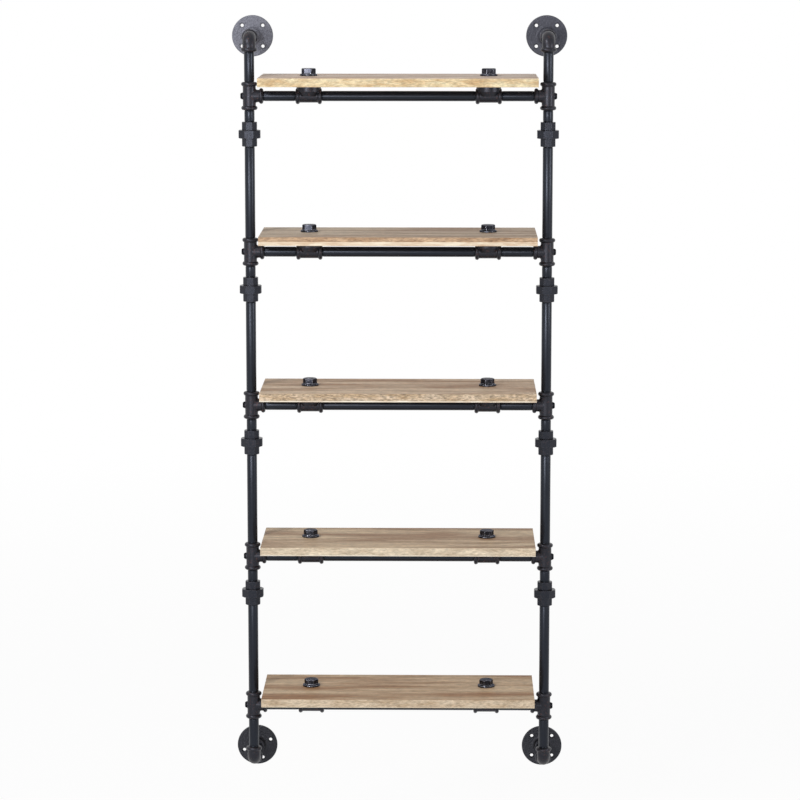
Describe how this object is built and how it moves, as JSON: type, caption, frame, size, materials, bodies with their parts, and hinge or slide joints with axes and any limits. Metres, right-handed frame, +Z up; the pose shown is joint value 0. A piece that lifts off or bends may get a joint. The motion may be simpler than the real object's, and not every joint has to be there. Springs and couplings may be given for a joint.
{
  "type": "wall-mounted pipe shelving unit",
  "caption": "Tall wall-mounted shelving unit of screwed black iron pipe and cast fittings, with wooden boards held on cross rails by flanged plug bolts",
  "frame": {"origin": "on the wall plane, midway between the four flanges, level with the middle rail", "axes": "+Z up, +Y into the wall, +X to the right of someone facing the shelves"},
  "size_m": [0.71, 0.2446, 1.632],
  "materials": {
    "black_pipe": "satin black lacquered steel pipe",
    "cast_fitting": "matt black malleable casting with brown tints",
    "flange_iron": "coarse matt black casting",
    "dark_steel": "black oxide steel with bright worn edges",
    "oak_board": "weathered grey-brown oak, pale cut edges"
  },
  "bodies": {
    "frame": {"cross_pipes_1": "black_pipe", "cross_pipes_2": "black_pipe", "cross_pipes_3": "black_pipe", "cross_pipes_4": "black_pipe", "cross_pipes_5": "black_pipe", "elbow_bottom_left": "cast_fitting", "elbow_bottom_right": "cast_fitting", "elbow_top_left": "cast_fitting", "elbow_top_right": "cast_fitting", "plug_bolts_left": "dark_steel", "plug_bolts_right": "dark_steel", "post_pipe_1_left": "black_pipe", "post_pipe_1_right": "black_pipe", "post_pipe_2_left": "black_pipe", "post_pipe_2_right": "black_pipe", "post_pipe_3_left": "black_pipe", "post_pipe_3_right": "black_pipe", "post_pipe_4_left": "black_pipe", "post_pipe_4_right": "black_pipe", "post_tee_1_left": "cast_fitting", "post_tee_1_right": "cast_fitting", "post_tee_2_left": "cast_fitting", "post_tee_2_right": "cast_fitting", "post_tee_3_left": "cast_fitting", "post_tee_3_right": "cast_fitting", "post_tee_4_left": "cast_fitting", "post_tee_4_right": "cast_fitting", "post_tee_5_left": "cast_fitting", "post_tee_5_right": "cast_fitting", "riser_nipples": "black_pipe", "seat_tees_1": "cast_fitting", "seat_tees_2": "cast_fitting", "seat_tees_3": "cast_fitting", "seat_tees_4": "cast_fitting", "seat_tees_5": "cast_fitting", "shelf_1": "oak_board", "shelf_2": "oak_board", "shelf_3": "oak_board", "shelf_4": "oak_board", "shelf_5": "oak_board", "short_nipples_left": "black_pipe", "short_nipples_right": "black_pipe", "side_screws": "dark_steel", "union_heads_left": "cast_fitting", "union_heads_right": "cast_fitting", "union_tails_left": "cast_fitting", "union_tails_right": "cast_fitting", "wall_flange_bottom_left": "flange_iron", "wall_flange_bottom_right": "flange_iron", "wall_flange_top_left": "flange_iron", "wall_flange_top_right": "flange_iron", "wall_nipples": "black_pipe"},
    "union_nut_1_left": {"union_nut_1_left": "cast_fitting"},
    "union_nut_1_right": {"union_nut_1_right": "cast_fitting"},
    "union_nut_2_left": {"union_nut_2_left": "cast_fitting"},
    "union_nut_2_right": {"union_nut_2_right": "cast_fitting"},
    "union_nut_3_left": {"union_nut_3_left": "cast_fitting"},
    "union_nut_3_right": {"union_nut_3_right": "cast_fitting"},
    "union_nut_4_left": {"union_nut_4_left": "cast_fitting"},
    "union_nut_4_right": {"union_nut_4_right": "cast_fitting"}
  },
  "joints": [
    {"name": "union_nut_1_left_turn", "type": "hinge", "parent": "frame", "child": "union_nut_1_left", "pos_m": [-0.3115, -0.1246, 0.5723], "axis": [0, 0, 1], "range_deg": [0, 990]},
    {"name": "union_nut_1_right_turn", "type": "hinge", "parent": "frame", "child": "union_nut_1_right", "pos_m": [0.3115, -0.1246, 0.5723], "axis": [0, 0, 1], "range_deg": [0, 990]},
    {"name": "union_nut_2_left_turn", "type": "hinge", "parent": "frame", "child": "union_nut_2_left", "pos_m": [-0.3115, -0.1246, 0.2465], "axis": [0, 0, 1], "range_deg": [0, 990]},
    {"name": "union_nut_2_right_turn", "type": "hinge", "parent": "frame", "child": "union_nut_2_right", "pos_m": [0.3115, -0.1246, 0.2465], "axis": [0, 0, 1], "range_deg": [0, 990]},
    {"name": "union_nut_3_left_turn", "type": "hinge", "parent": "frame", "child": "union_nut_3_left", "pos_m": [-0.3115, -0.1246, -0.0793], "axis": [0, 0, 1], "range_deg": [0, 990]},
    {"name": "union_nut_3_right_turn", "type": "hinge", "parent": "frame", "child": "union_nut_3_right", "pos_m": [0.3115, -0.1246, -0.0793], "axis": [0, 0, 1], "range_deg": [0, 990]},
    {"name": "union_nut_4_left_turn", "type": "hinge", "parent": "frame", "child": "union_nut_4_left", "pos_m": [-0.3115, -0.1246, -0.4051], "axis": [0, 0, 1], "range_deg": [0, 990]},
    {"name": "union_nut_4_right_turn", "type": "hinge", "parent": "frame", "child": "union_nut_4_right", "pos_m": [0.3115, -0.1246, -0.4051], "axis": [0, 0, 1], "range_deg": [0, 990]}
  ]
}
